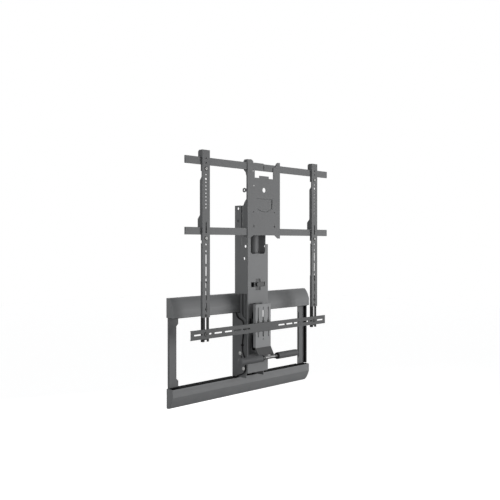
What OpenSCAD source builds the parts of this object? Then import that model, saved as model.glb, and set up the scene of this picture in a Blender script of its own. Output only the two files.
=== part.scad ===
// Height-adjustable swivel wall mount for a large flat screen, millimetres.
// X runs to the right, +Y runs into the wall and Z runs up. The wall is the plane Y = 0,
// and the origin lies on it, in the middle of the wall frame.
// A depth is a distance off the wall, so a depth of 40 lies at Y = -40.

/* [Wall frame] */
// Width across the two uprights
frame_w = 868; // [760:2:960]
// Height over both frame rails
frame_h = 434; // [400:2:480]
// Height of one frame rail
frame_rail_h = 54; // [44:1:64]
// Depth of the frame profiles
frame_d = 12; // [9:0.5:16]
// Sheet thickness of the frame profiles
frame_t = 2.5; // [1.5:0.1:3.5]
// Width of an upright
upright_w = 38; // [30:1:50]
// Extra width of the gussets at the ends of an upright
gusset_w = 10; // [5:1:16]
// Length of a gusset beside its rail
gusset_h = 42; // [25:1:60]
// Distance between the two columns of wall screws
stud_pitch = 406.4; // [380:0.2:620]
// Width of a wall screw slot
wall_slot_w = 9; // [7:0.5:11]
// Length of a wall screw slot
wall_slot_l = 34; // [20:1:50]
// Width of the cable channel beside the right upright
channel_w = 8; // [5:1:12]
// Depth of that cable channel
channel_d = 24; // [16:1:32]
// Wall of that cable channel
channel_t = 1.6; // [1:0.1:2]

/* [Covers] */
// How far a cover is longer than the frame, at each end
cover_over = 6; // [3:1:12]
// Height of a cover
cover_h = 84; // [76:1:92]
// Depth of a cover
cover_d = 42; // [34:1:43]
// Height of the curved part of a cover, from the crease to its edge
cover_round_h = 50; // [34:1:60]
// Wall of a cover
cover_t = 2.2; // [1.5:0.1:3.5]
// Thickness of the ribs that seat a cover on its rail
cover_rib_t = 3; // [2:0.5:6]

/* [Pivots and links] */
// Distance between the pivots of a link
link_l = 440; // [380:5:500]
// Depth of the front pivots
front_pivot_d = 75; // [73:0.5:78]
// Depth of the rear pivots
rear_pivot_d = 53; // [51:0.5:54]
// Height of the rear lower pivot below the middle of the frame
rear_pivot_drop = 37; // [25:1:50]
// How far the front pivots lie below the rear pivots
pivot_step = 68; // [60:1:80]
// Width over a link
link_w = 107; // [100:1:108]
// Depth of a link section
link_d = 16; // [13:0.5:16.5]
// Sheet thickness of a link's sides
link_t = 3; // [2:0.1:4]
// Sheet thickness of a link's web
link_web_t = 2.5; // [1.5:0.1:3]
// Radius of the round ends of a link
link_end_r = 11; // [9.5:0.5:12]
// Diameter of the pivot pins
pin_d = 10; // [8:0.5:11]
// Wall of the bushes in the links
bush_t = 2; // [1.5:0.1:2.4]
// Thickness of the cheeks of the pivot bracket
cheek_t = 4; // [3:0.5:4.5]
// Depth of the pivot bracket
cheek_d = 89; // [87:0.5:91]

/* [Gas springs] */
// Sideways place of each gas spring
spring_x = 30; // [26:1:34]
// Diameter of a gas spring cylinder
spring_d = 18; // [15:0.5:19]
// Diameter of a gas spring rod
spring_rod_d = 8; // [6:0.5:10]
// Length of a gas spring cylinder
spring_l = 178; // [150:1:200]
// Distance from the rear lower pivot to the anchor pin of the gas springs
anchor_r = 18; // [17:0.5:20]
// Height of the upper spring pin above the rear lower pivot
spring_reach = 300; // [270:1:330]
// Diameter of the spring pins
spring_pin_d = 8; // [6:0.5:9]

/* [Swivel] */
// Depth of the swivel axis
swivel_d = 72; // [70:0.5:74]
// Diameter of the swivel tube
tube_d = 56; // [44:1:58]
// Height of the swivel tube
tube_h = 179; // [150:1:210]
// Diameter of the swivel post
post_d = 24; // [18:0.5:30]
// Diameter of the upper end of the swivel post
post_top_d = 20; // [14:0.5:17.5]
// Thickness of the swivel brackets
bracket_t = 6; // [4:0.5:8]
// Wall of the bush round the swivel tube
swivel_bush_t = 3; // [2:0.5:4]

/* [Mast] */
// Width of the mast
mast_w = 130; // [128:0.5:140]
// Depth of the mast's front face
mast_front_d = 108.5; // [108:0.5:112]
// Depth of the rear edges of the mast's sides
mast_rear_d = 24; // [20:1:30]
// Sheet thickness of the mast
mast_t = 3; // [2:0.1:3.2]
// Height of the mast above the swivel tube
mast_rise = 36; // [30:1:50]
// Length of the mast
mast_l = 756; // [720:1:800]
// Width of the notch round the swivel tube
notch_w = 94; // [84:1:100]
// Height of the lower opening
mouth_h = 229; // [215:1:245]
// Height of the plate below the lower opening
mouth_plate_h = 84; // [70:1:100]

/* [Head] */
// Depth of the front face of the head plate
head_front_d = 147; // [146:0.5:150]
// Width of the head plate
head_w = 210; // [190:1:230]
// Sheet thickness of the head plate and its carrier
head_t = 3; // [2:0.1:3.5]
// Length of the two rails
rail_l = 908; // [860:2:960]
// Height of a rail
rail_h = 31; // [26:1:36]
// Depth of the section of a rail
rail_section_d = 8; // [6:0.5:10]
// Sheet thickness of a rail
rail_t = 2; // [1.5:0.1:2.5]
// Distance between the two rails
rail_pitch = 289; // [280:1:300]

/* [Screen brackets] */
// Distance between the two columns of screen holes
screen_pitch = 700; // [600:2:740]
// Width of a screen bracket
bracket_w = 41.5; // [38:0.5:46]
// Length of a screen bracket
bracket_l = 693; // [670:1:720]
// Depth of the front face of the screen brackets
bracket_front_d = 151; // [150.5:0.5:154]
// Sheet thickness of the screen brackets
bracket_sheet_t = 2.5; // [1.5:0.1:3]
// Diameter of the screen holes
screen_hole_d = 6.5; // [5:0.5:9]
// Distance between the small screen holes
hole_pitch = 15; // [13:0.5:17]
// Distance between the screen slots
slot_pitch = 50; // [46:1:54]
// Length of a screen slot
slot_l = 40; // [30:1:42]

/* [Speaker bar] */
// Length of the speaker bar
bar_l = 865; // [800:5:900]
// Height of the speaker bar
bar_h = 40; // [34:1:44]
// Sheet thickness of the speaker bar
bar_t = 2; // [1.5:0.1:2.5]
// Width of the slots in the speaker bar
bar_slot_w = 6.5; // [5:0.5:9]
// Width of an extension
extension_w = 35; // [30:0.5:36]
// Length of an extension
extension_l = 251; // [235:1:270]
// Sheet thickness of an extension
extension_t = 2.5; // [1.5:0.1:3]
// Width of the long slot in an extension
extension_slot_w = 8; // [7:0.5:10]

/* [Handle] */
// Clearance between the heads of the handle bolts and the speaker bar
handle_clear = 1.1; // [0.8:0.1:2]
// Width of the handle plate
handle_w = 98; // [92:1:104]
// Height of the handle plate
handle_h = 196; // [190:1:210]
// Sheet thickness of the handle plate and its slide
handle_t = 2.5; // [1.5:0.1:3]
// Depth of the side flanges of the handle plate
handle_flange_d = 15; // [10:1:20]
// Width of the slots in the handle plate
handle_slot_w = 6.5; // [5.5:0.5:8]
// Length of the slots in the handle plate
handle_slot_l = 134; // [131:1:145]
// Distance between the slots in the handle plate
handle_slot_pitch = 32.5; // [26:0.5:34]
// Travel of the handle
handle_travel = 60; // [40:1:60]
// How far the handle rod lies in front of the handle plate
handle_reach = 38; // [32:0.5:46]
// How far the handle rod lies below the handle plate
handle_drop = 39.5; // [36:0.5:50]
// Diameter of the handle rod
handle_rod_d = 16; // [12:0.5:18]
// Half the length over the grips
handle_half_l = 187.5; // [160:0.5:210]
// Diameter of a grip
grip_d = 31; // [26:0.5:34]
// Length of a grip
grip_l = 136; // [110:1:138]

/* [Cable] */
// Diameter of the service cable
cable_d = 6; // [5:0.5:6.5]

/* [Hidden] */
// Gap between sheets of two bodies that pass each other, and half a running fit
gap = 0.5;
fit = 0.05;
seat_gap = 0.3;

// Wall frame
frame_x = frame_w / 2;
frame_z = frame_h / 2;
rail_inner_z = frame_z - frame_rail_h;
wall_row_z = frame_z - frame_rail_h / 2;

// Covers
cover_top = frame_z + 16;
cover_lip = cover_top - cover_h;
cover_x = frame_x + cover_over;
cover_rib_x = frame_x / 3;

// Pivot bracket
cheek_in = link_w / 2 + gap;
cheek_out = cheek_in + cheek_t;
cheek_z = cover_lip - 3;
head_h = 3.5;
low_head_h = 1.8;
clip_t = 2;

// Links. A link is drawn with its lower pivot at the origin and its upper pivot straight above.
rear_low = [-rear_pivot_d, -rear_pivot_drop];
front_low = [-front_pivot_d, -rear_pivot_drop - pivot_step];
rear_high = rear_low + [0, link_l];
front_high = front_low + [0, link_l];
link_side = link_w / 2 - link_t;
link_web_gap = link_end_r + 6;

// Gas springs, from the anchor pin on the bracket to the pin on the rear link
anchor = rear_low + anchor_r * [-sin(25), -cos(25)];
spring_top = rear_low + [-5, spring_reach];
spring_vector = anchor - spring_top;
spring_len = norm(spring_vector);
spring_tilt = atan2(spring_vector[0], -spring_vector[1]);
spring_ear_r = 8;
anchor_play = 4.6;
anchor_eye_d = spring_pin_d + 2 * anchor_play;
eye_t = 10;

// Knuckle and swivel
knuckle_x = link_side - gap;
deck_t = 8;
rib_t = 6;
deck_top = rear_high[1] + link_end_r + 5;
tube_top = deck_top + tube_h;
boss_r = 10;
knuckle_side_t = 5;
lower_bracket_z = deck_top + 81;
washer_t = 2;
upper_bracket_z = tube_top + washer_t;
swivel_bore_d = tube_d + 2 * swivel_bush_t;

// Mast
mast_top = tube_top + mast_rise;
mast_bottom = mast_top - mast_l;
mast_in = mast_w / 2 - mast_t;
notch_bottom = deck_top - 4;
shoulder_z = deck_top + 40;
left_shoulder_z = shoulder_z + 28;
mast_slot_d = 69;
shoulder_cut = 15;
side_bottom = cover_top + 2;
mouth_bottom = mast_bottom + mouth_plate_h;
mouth_top = mouth_bottom + mouth_h;
mouth_w = mast_w - 18;
lip_d = 8.5;
cross_z = mouth_top + 85;

// Head plate, its carrier and the rails
rail_low_z = deck_top + 95;
rail_high_z = rail_low_z + rail_pitch;
head_bottom = rail_low_z - rail_h / 2;
head_top = rail_high_z + rail_h / 2;
ear_top = head_top + 14;
horn_bottom = head_bottom - 14;
head_rear_d = head_front_d - head_t;
carrier_rear_d = head_rear_d - head_t;
carrier_z = head_bottom + rail_h + 4;
carrier_h = 157;
carrier_half = 75;
head_eye_drop = 117;
lug_drop = head_eye_drop + 4;
stud_drop = 163;
groove_r = 75;
groove_w = 1.5;
rail_lip_l = 60;
stiffener_half = 24;
carrier_bolt_z = [carrier_z + 15, carrier_z + 50];
carrier_bolt_d = 83;
head_bolt_x = 67.5;
head_bolt_z = [carrier_z + 69, carrier_z + 5];
rail_rear_d = head_rear_d - rail_section_d;

// Screen brackets
screen_x = screen_pitch / 2;
bracket_top = head_top + 30;
bracket_bottom = bracket_top - bracket_l;
bracket_web_d = bracket_front_d - bracket_sheet_t;
clamp_bolt_d = 8;
clamp_t = 3;

// Speaker bar and extensions
extension_front_d = bracket_web_d - seat_gap;
extension_bottom = bracket_bottom - 101;
extension_top = extension_bottom + extension_l;
extension_slot_bottom = extension_bottom + 20;
extension_slot_top = extension_top - 6;
bar_z = extension_bottom + 32;
bar_front_d = extension_front_d + bar_t;
bar_lip_d = 3;
extension_bolt_z = [bracket_bottom + 9, bracket_bottom + 34];
extension_bolt_d = 6;

// Handle
handle_head_h = 2.3;
handle_front_d = extension_front_d - bar_lip_d - handle_clear - seat_gap - handle_head_h;
handle_rod_depth = handle_front_d + handle_reach;
handle_top = mouth_top - 2;
handle_bottom = handle_top - handle_h;
handle_slot_top = handle_top - 14;
handle_slot_bottom = handle_slot_top - handle_slot_l;
handle_rod_z = handle_bottom - handle_drop;
handle_bolt_d = handle_slot_w - 0.5;
handle_bolt_z = [handle_slot_bottom + 38, handle_slot_top - handle_travel - handle_bolt_d / 2 - 0.5];
ear_x = 34;
slide_front_d = handle_front_d - handle_t - seat_gap;
slide_half = handle_w / 2 - handle_t - 1.5;
slide_rear_d = mast_front_d - mast_t;
slide_bottom = handle_bolt_z[0] - 12;
slide_top = handle_bolt_z[1] + 12;

// A sheet square to X, from x to x + t. Its outline is drawn in Y and Z.
module side_sheet(x, t) {
    translate([x, 0, 0]) rotate([90, 0, 90]) linear_extrude(t) children();
}

// A sheet square to Y, with its front face at a depth. Its outline is drawn in X and Z.
module front_sheet(depth, t) {
    translate([0, t - depth, 0]) rotate([90, 0, 0]) linear_extrude(t) children();
}

// A cylinder along X, at a point given as [Y, Z]
module x_cylinder(d, x0, x1, point) {
    translate([x0, point[0], point[1]]) rotate([0, 90, 0]) cylinder(d = d, h = x1 - x0, $fn = 48);
}

// A cylinder along Y, between two depths, the larger one first
module y_cylinder(d, depth0, depth1, x, z) {
    translate([x, -depth1, z]) rotate([90, 0, 0]) cylinder(d = d, h = depth0 - depth1, $fn = 40);
}

// The same shape on both sides of the plane X = 0
module both_sides() {
    children();
    mirror([1, 0, 0]) children();
}

// A rectangle with round corners, centred
module rounded(w, h, r) {
    square([w - 2 * r, h], center = true);
    square([w, h - 2 * r], center = true);
    for (x = [-1, 1], z = [-1, 1])
        translate([x * (w / 2 - r), z * (h / 2 - r)]) circle(r, $fn = 32);
}

// A slot with round ends, upright unless it is laid down, centred
module slot(w, l, lying = false) {
    rotate(lying ? 90 : 0) {
        square([w, l - w], center = true);
        for (end = [-1, 1])
            translate([0, end * (l - w) / 2]) circle(d = w, $fn = 32);
    }
}

// A box between two depths, the larger one first
module depth_box(x0, x1, depth0, depth1, z0, z1) {
    translate([x0, -depth0, z0]) cube([x1 - x0, depth0 - depth1, z1 - z0]);
}

// Wall frame

module wall_rail() {
    difference() {
        side_sheet(-frame_x, frame_w) difference() {
            translate([-frame_d, rail_inner_z]) square([frame_d, frame_rail_h]);
            translate([frame_t - frame_d, rail_inner_z + frame_t])
                square([frame_d, frame_rail_h - 2 * frame_t]);
        }
        for (side = [-1, 1], x = [stud_pitch / 2, frame_x - upright_w])
            translate([side * x, 0, wall_row_z]) front_sheet(frame_d + 1, frame_t + 2)
                slot(wall_slot_w, wall_slot_l, lying = true);
    }
}

module frame_top_rail() {
    color("dimgray") wall_rail();
}

module frame_bottom_rail() {
    color("dimgray") mirror([0, 0, 1]) wall_rail();
}

module upright_outline() {
    inner = frame_x - upright_w;
    wide = inner - gusset_w;
    low = rail_inner_z - gusset_h;
    polygon([
        [frame_x, -rail_inner_z], [frame_x, rail_inner_z],
        [wide, rail_inner_z], [wide, low], [inner, low - gusset_w],
        [inner, gusset_w - low], [wide, -low], [wide, -rail_inner_z]
    ]);
}

module upright() {
    front_sheet(frame_d, frame_t) upright_outline();
    for (x = [frame_x - upright_w, frame_x - frame_t])
        depth_box(x, x + frame_t, frame_d - frame_t, 0, -rail_inner_z, rail_inner_z);
}

module left_upright() {
    color("dimgray") mirror([1, 0, 0]) upright();
}

module right_upright() {
    color("dimgray") upright();
}

module cable_channel() {
    color("black") translate([frame_x, -channel_d, -cheek_z]) linear_extrude(2 * cheek_z) difference() {
        square([channel_w, channel_d]);
        translate([channel_t, channel_t]) square([channel_w - 2 * channel_t, channel_d - 2 * channel_t]);
    }
}

// Covers

// A point of the curve between two ends, which leaves each end towards the pull point
function bend(from, pull, to, t) = (1 - t) * (1 - t) * from + 2 * t * (1 - t) * pull + t * t * to;

// Outline of a cover from its top edge at the wall to its lip, set in by a wall
function cover_outline(inset) =
    let (high = [-12, cover_top - inset], crease = [inset - cover_d, cover_top - cover_round_h],
        pull = [0.8 * inset - 31, cover_top - inset - 12], low = inset > 0 ? cover_lip - 1 : cover_lip)
    concat([[0, cover_top - inset]], [for (i = [0 : 12]) bend(high, pull, crease, i / 12)],
        [[inset - cover_d, low], [0, low]]);

module cover() {
    ribs = [cover_rib_x, cover_x - 5 * cover_t];
    groove = 1.2;
    difference() {
        side_sheet(-cover_x, 2 * cover_x) polygon(cover_outline(0));
        side_sheet(cover_t - cover_x, 2 * (cover_x - cover_t)) polygon(cover_outline(cover_t));
        depth_box(-cover_x - 1, cover_x + 1, cover_d + 1, cover_d - groove / 2,
            cover_lip + 11, cover_lip + 11 + groove);
    }
    for (side = [-1, 1], x = ribs)
        translate([side * x - cover_rib_t / 2, 0, 0]) intersection() {
            side_sheet(0, cover_rib_t) polygon(cover_outline(cover_t));
            depth_box(0, cover_rib_t, cover_d, frame_d + seat_gap, rail_inner_z, frame_z);
        }
}

module top_cover() {
    color("gray") cover();
}

module bottom_cover() {
    color("gray") mirror([0, 0, 1]) cover();
}

// Pivot bracket on the wall frame

module pivot_bracket() {
    color("dimgray") difference() {
        union() {
            depth_box(-cheek_out, cheek_out, cheek_t, 0, -rail_inner_z, rail_inner_z);
            both_sides() side_sheet(cheek_in, cheek_t) difference() {
                translate([-cheek_d, -cheek_z]) square([cheek_d, 2 * cheek_z]);
                translate([-cheek_d, cheek_z]) circle(24, $fn = 48);
            }
        }
        for (point = [rear_low, front_low])
            x_cylinder(pin_d + 2 * fit, -cheek_out - 1, cheek_out + 1, point);
        x_cylinder(spring_pin_d + 2 * fit, -cheek_out - 1, cheek_out + 1, anchor);
        for (side = [-1, 1], z = [-1, 1])
            y_cylinder(wall_slot_w, cheek_t + 1, -1, side * link_side / 2, z * (cheek_z - 26));
    }
}

// A shoulder bolt with a clip, from the head inwards
module shoulder_bolt(point, head_in, head_out, clip_out, head_d) {
    x_cylinder(head_d, head_in, head_out, point);
    x_cylinder(pin_d, clip_out - clip_t, head_in, point);
    x_cylinder(pin_d + 4, clip_out - clip_t, clip_out, point);
}

module lower_pivot_pins() {
    color("silver") both_sides() for (point = [rear_low, front_low])
        shoulder_bolt(point, cheek_out, cheek_out + head_h, link_side - seat_gap, 16);
}

module spring_anchor_pin() {
    color("silver") {
        x_cylinder(spring_pin_d, -cheek_out - 2, cheek_out + 2, anchor);
        both_sides() for (x = [spring_x - eye_t / 2 - 2.3, spring_x + eye_t / 2 + 0.3])
            x_cylinder(anchor_eye_d + 7, x, x + 2, anchor);
    }
}

// Route of the service cable, from inside the upper cover down the left cheek
cable_x = -cheek_out - cable_d / 2 - 1;
cable_route = [
    [-30, 172], [-30, 150], [-33, 135], [-42, 124], [-55, 118], [-68, 112], [-76, 101],
    [-76, 80], [-75, 50], [-71, 25], [-69, 0], [-70, -24], [-77, -42], [-84, -56],
    [-88, -72], [-89, -92], [-88, -108], [-80, -122], [-62, -132], [-44, -138], [-32, -146],
    [-28, -160], [-28, -172]
];

function unit(v) = v / norm(v);

// Direction of the route at a point, as the mean of its neighbours
function heading(route, i) =
    unit(route[min(i + 1, len(route) - 1)] - route[max(i - 1, 0)]);

// A tube of a given diameter along a route in Y and Z, at one place in X
module cable_tube(x, route, d, sides) {
    rings = len(route);
    points = [for (i = [0 : rings - 1], k = [0 : sides - 1])
        let (h = heading(route, i), a = 360 * k / sides, c = cos(a) * d / 2)
        [x + sin(a) * d / 2, route[i][0] + h[1] * c, route[i][1] - h[0] * c]];
    skin = [for (i = [0 : rings - 2], k = [0 : sides - 1], half = [0, 1])
        let (next = (k + 1) % sides, a = i * sides + k, b = i * sides + next)
        half == 0 ? [a, b, b + sides] : [a, b + sides, a + sides]];
    start = [for (k = [sides - 1 : -1 : 0]) k];
    finish = [for (k = [0 : sides - 1]) (rings - 1) * sides + k];
    polyhedron(points, concat(skin, [start, finish]));
}

module service_cable() {
    color("black") cable_tube(cable_x, cable_route, cable_d, 10);
}

module cable_clips() {
    clip_h = 8;
    clip_r = cable_d / 2 + 0.3;
    clip_wall = 1.2;
    color("black") for (point = [[-75.5, 65], [-69.2, 2]])
        difference() {
            translate([cable_x - clip_r - clip_wall, point[0] - clip_r - clip_wall, point[1] - clip_h / 2])
                cube([-cheek_out - cable_x + clip_r + clip_wall, 2 * (clip_r + clip_wall), clip_h]);
            translate([cable_x, point[0], point[1] - clip_h])
                cylinder(r = clip_r, h = 2 * clip_h, $fn = 24);
        }
}

// Links

// One side of a link, with a web on the side of Y given by rear. The lower pivot is the origin.
module link_outline() {
    translate([-link_d / 2, 0]) square([link_d, link_l]);
    for (z = [0, link_l])
        translate([0, z]) circle(link_end_r, $fn = 64);
}

module link(low, rear) {
    web_y = rear > 0 ? link_d / 2 - link_web_t : -link_d / 2;
    translate([0, low[0], low[1]]) difference() {
        union() {
            both_sides() side_sheet(link_side, link_t) link_outline();
            translate([-link_side, web_y, link_web_gap])
                cube([2 * link_side, link_web_t, link_l - 2 * link_web_gap]);
        }
        for (z = [0, link_l])
            x_cylinder(pin_d + 2 * bush_t, -link_w, link_w, [0, z]);
        for (z = [0.26, 0.5, 0.74])
            translate([0, 0, z * link_l]) front_sheet(link_d, 2 * link_d) slot(30, 74);
    }
}

module front_link() {
    color("dimgray") link(front_low, -1);
}

module rear_link() {
    color("dimgray") {
        difference() {
            union() {
                link(rear_low, 1);
                both_sides() side_sheet(link_side, link_t)
                    translate(spring_top) circle(spring_ear_r, $fn = 48);
            }
            x_cylinder(spring_pin_d + 2 * fit, -link_w, link_w, spring_top);
        }
    }
}

module link_bushes(low) {
    color("black") both_sides() for (z = [0, link_l]) difference() {
        x_cylinder(pin_d + 2 * bush_t, link_side - 0.2, link_w / 2 + 0.2, low + [0, z]);
        x_cylinder(pin_d + 2 * fit, link_side - 1, link_w / 2 + 1, low + [0, z]);
    }
}

module front_link_bushes() {
    link_bushes(front_low);
}

module rear_link_bushes() {
    link_bushes(rear_low);
}

// Gas springs

module spring_link_pin() {
    color("silver") {
        x_cylinder(spring_pin_d, -link_w / 2, link_w / 2, spring_top);
        both_sides() for (x = [spring_x - eye_t / 2 - 2.3, spring_x + eye_t / 2 + 0.3])
            x_cylinder(spring_pin_d + 6, x, x + 2, spring_top);
    }
}

// Children drawn along -Z from the spring's upper pin are turned into its place
module spring_frame() {
    both_sides() translate([spring_x, spring_top[0], spring_top[1]])
        rotate([spring_tilt, 0, 0]) children();
}

module gas_spring_cylinders() {
    bore_d = spring_rod_d + 2 * fit;
    color("black") spring_frame() difference() {
        union() {
            rotate([0, 90, 0]) cylinder(d = spring_pin_d + 8, h = eye_t, center = true, $fn = 48);
            translate([0, 0, -18]) cylinder(d = eye_t - 1, h = 13, $fn = 40);
            translate([0, 0, -spring_l]) cylinder(d = spring_d, h = spring_l - 17, $fn = 48);
        }
        rotate([0, 90, 0]) cylinder(d = spring_pin_d + 2 * fit, h = 2 * eye_t, center = true, $fn = 48);
        translate([0, 0, -spring_l - 1]) cylinder(d = bore_d, h = spring_l - 24, $fn = 40);
    }
}

module gas_spring_rods() {
    color("silver") spring_frame() {
        translate([0, 0, 10 - spring_len]) cylinder(d = spring_rod_d, h = spring_len - 70, $fn = 40);
        translate([0, 0, -spring_len]) difference() {
            union() {
                rotate([0, 90, 0]) cylinder(d = anchor_eye_d + 6, h = eye_t, center = true, $fn = 48);
                cylinder(d = eye_t - 1, h = 24, $fn = 40);
            }
            rotate([0, 90, 0]) cylinder(d = anchor_eye_d, h = 2 * eye_t, center = true, $fn = 48);
        }
    }
}

// Knuckle and swivel

module knuckle_side() {
    arm_w = 12;
    lean = unit(rear_high - front_high);
    across = [lean[1], -lean[0]] * arm_w / 2;
    for (point = [rear_high, front_high])
        translate(point) circle(boss_r, $fn = 64);
    polygon([front_high - across, front_high + across, rear_high + across, rear_high - across]);
    translate([-swivel_d - 18, rear_high[1] - 2]) square([36, deck_top - deck_t - rear_high[1] + 4]);
}

module knuckle() {
    post_bottom = deck_top - deck_t;
    color("dimgray") difference() {
        union() {
            both_sides() side_sheet(knuckle_x - knuckle_side_t, knuckle_side_t) knuckle_side();
            depth_box(-knuckle_x, knuckle_x, swivel_d + 21, swivel_d - 20, post_bottom, deck_top);
            translate([0, -swivel_d, deck_top - 1]) cylinder(d = tube_d, h = tube_h + 1, $fn = 96);
            translate([0, -swivel_d, post_bottom]) cylinder(d = tube_d + 6, h = deck_t, $fn = 96);
            both_sides() front_sheet(swivel_d + rib_t / 2, rib_t) polygon([
                [tube_d / 2 - 2, deck_top - 1], [knuckle_x - 4, deck_top - 1],
                [tube_d / 2 - 2, deck_top + 26]
            ]);
        }
        translate([0, -swivel_d, post_bottom - 1])
            cylinder(d = post_d + 2 * fit, h = tube_h + deck_t + 2, $fn = 64);
        for (point = [rear_high, front_high])
            x_cylinder(pin_d + 2 * fit, -link_w, link_w, point);
    }
}

module upper_pivot_pins() {
    clip_x = knuckle_x - knuckle_side_t;
    color("silver") both_sides() for (point = [rear_high, front_high]) {
        x_cylinder(pin_d, clip_x - clip_t - 2, link_w / 2 + seat_gap, point);
        x_cylinder(pin_d + 4, link_w / 2 + seat_gap, link_w / 2 + seat_gap + low_head_h, point);
        x_cylinder(pin_d + 4, clip_x - clip_t, clip_x, point);
    }
}

module swivel_post() {
    color("silver") translate([0, -swivel_d, 0]) {
        translate([0, 0, deck_top - deck_t]) cylinder(d = post_d, h = tube_h + deck_t, $fn = 64);
        translate([0, 0, tube_top - 1]) cylinder(d = post_top_d, h = 20, $fn = 64);
    }
}

module swivel_washer() {
    color("black") translate([0, -swivel_d, tube_top]) difference() {
        cylinder(d = tube_d - 6, h = washer_t - seat_gap, $fn = 64);
        translate([0, 0, -1]) cylinder(d = post_top_d + 2 * fit, h = washer_t + 2, $fn = 64);
    }
}

module swivel_nut() {
    color("silver") translate([0, -swivel_d, upper_bracket_z + bracket_t + seat_gap]) difference() {
        cylinder(d = 34, h = 9, $fn = 6);
        translate([0, 0, -1]) cylinder(d = post_top_d, h = 11, $fn = 64);
    }
}

module swivel_plate(z, bore) {
    translate([0, 0, z]) difference() {
        depth_box(-mast_in, mast_in, swivel_d + 20, mast_rear_d + 6, 0, bracket_t);
        translate([0, -swivel_d, -1]) cylinder(d = bore, h = bracket_t + 2, $fn = 96);
    }
}

module swivel_brackets() {
    color("dimgray") {
        difference() {
            union() {
                swivel_plate(lower_bracket_z, 1);
                translate([0, -swivel_d, lower_bracket_z])
                    cylinder(d = swivel_bore_d + 8, h = bracket_t, $fn = 96);
            }
            translate([0, -swivel_d, lower_bracket_z - 1])
                cylinder(d = swivel_bore_d, h = bracket_t + 2, $fn = 96);
        }
        swivel_plate(upper_bracket_z, post_top_d + 2 * fit);
        both_sides() depth_box(mast_in - mast_t, mast_in, mast_slot_d + 16, mast_slot_d - 11,
            upper_bracket_z + bracket_t / 2, mast_top - 2);
    }
}

module swivel_bush() {
    color("black") translate([0, -swivel_d, lower_bracket_z]) difference() {
        cylinder(d = swivel_bore_d, h = bracket_t, $fn = 96);
        translate([0, 0, -1]) cylinder(d = tube_d + 2 * fit, h = bracket_t + 2, $fn = 96);
    }
}

// Mast

// Outline of a side of the mast, up to the shoulder, with a slot 8 mm wide at the head
module mast_side_outline(shoulder) {
    front = -mast_front_d;
    difference() {
        polygon([
            [front, mast_bottom], [front + lip_d, mast_bottom], [front + lip_d, side_bottom],
            [-mast_rear_d, side_bottom], [-mast_rear_d, mast_top],
            [front + shoulder_cut, mast_top], [front + shoulder_cut, shoulder], [front, shoulder]
        ]);
        translate([-mast_slot_d - 4, lower_bracket_z]) square([8, mast_l]);
        for (hole = [[-92, 30], [-84, -25]])
            translate([hole[0], deck_top + hole[1]]) circle(d = 13, $fn = 32);
        for (hole = [[-45.6, 14], [-46.6, 70]])
            translate([hole[0], mast_top - hole[1]]) circle(d = 12, $fn = 32);
        for (z = carrier_bolt_z)
            translate([-carrier_bolt_d, z]) circle(d = 6.1, $fn = 32);
    }
}

module mast_front_outline() {
    difference() {
        translate([-mast_w / 2, mast_bottom]) square([mast_w, shoulder_z - mast_bottom]);
        translate([0, notch_bottom + 60]) rounded(notch_w, 120, 12);
        translate([0, (mouth_top + mouth_bottom) / 2]) rounded(mouth_w, mouth_h, 5);
        translate([0, cross_z]) {
            square([89, 22], center = true);
            square([32, 52], center = true);
        }
    }
    translate([-mast_w / 2, shoulder_z - 1])
        square([(mast_w - notch_w) / 2, left_shoulder_z - shoulder_z + 1]);
}

// The left side reaches higher and has a thin slot under the wide one
module mast() {
    color("gray") {
        front_sheet(mast_front_d, mast_t) mast_front_outline();
        side_sheet(mast_in, mast_t) mast_side_outline(shoulder_z);
        side_sheet(-mast_w / 2, mast_t) difference() {
            mast_side_outline(left_shoulder_z);
            translate([-mast_slot_d - 1.5, shoulder_z - 6])
                square([3, lower_bracket_z - shoulder_z + 7]);
        }
    }
}

module adjuster_plate() {
    color("dimgray") front_sheet(slide_rear_d, 2) difference() {
        translate([12, cross_z]) square([68, 60], center = true);
        translate([0, cross_z]) circle(d = 8.1, $fn = 32);
    }
}

module tension_adjuster() {
    color("dimgray") {
        translate([0, -slide_rear_d - seat_gap, cross_z]) rotate([90, 0, 0]) cylinder(d = 22, h = 7, $fn = 6);
        y_cylinder(8, slide_rear_d + 1, slide_rear_d - 2.3, 0, cross_z);
        y_cylinder(12, slide_rear_d - 2.3, slide_rear_d - 4.3, 0, cross_z);
    }
}

// Head plate, carrier and rails

module carrier_cheek_outline() {
    rear = -mast_slot_d + 9;
    lobe_z = mast_top - 70;
    polygon([
        [-head_rear_d, carrier_z], [1 - mast_front_d + shoulder_cut, carrier_z],
        [1 - mast_front_d + shoulder_cut, lower_bracket_z + bracket_t + 1],
        [rear, lower_bracket_z + bracket_t + 1], [rear, lobe_z - 14], [rear + 22, lobe_z - 14],
        [rear + 22, lobe_z + 14], [rear, lobe_z + 14], [rear, upper_bracket_z - 1.5],
        [-head_rear_d, upper_bracket_z - 1.5]
    ]);
}

module head_carrier() {
    color("dimgray") difference() {
        union() {
            front_sheet(head_rear_d, head_t)
                translate([-carrier_half, carrier_z]) square([2 * carrier_half, carrier_h]);
            both_sides() side_sheet(mast_in - head_t, head_t) carrier_cheek_outline();
        }
        for (z = carrier_bolt_z)
            x_cylinder(6.1, -mast_w, mast_w, [-carrier_bolt_d, z]);
        for (side = [-1, 1], z = head_bolt_z)
            y_cylinder(6.1, head_front_d, carrier_rear_d - 1, side * head_bolt_x, z);
    }
}

module carrier_bolts() {
    color("silver") both_sides() for (z = carrier_bolt_z) {
        point = [-carrier_bolt_d, z];
        x_cylinder(6, mast_in - head_t - 6, mast_w / 2 + 1, point);
        x_cylinder(11, mast_w / 2, mast_w / 2 + 4, point);
        x_cylinder(11, mast_in - head_t - 5, mast_in - head_t, point);
    }
}

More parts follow.
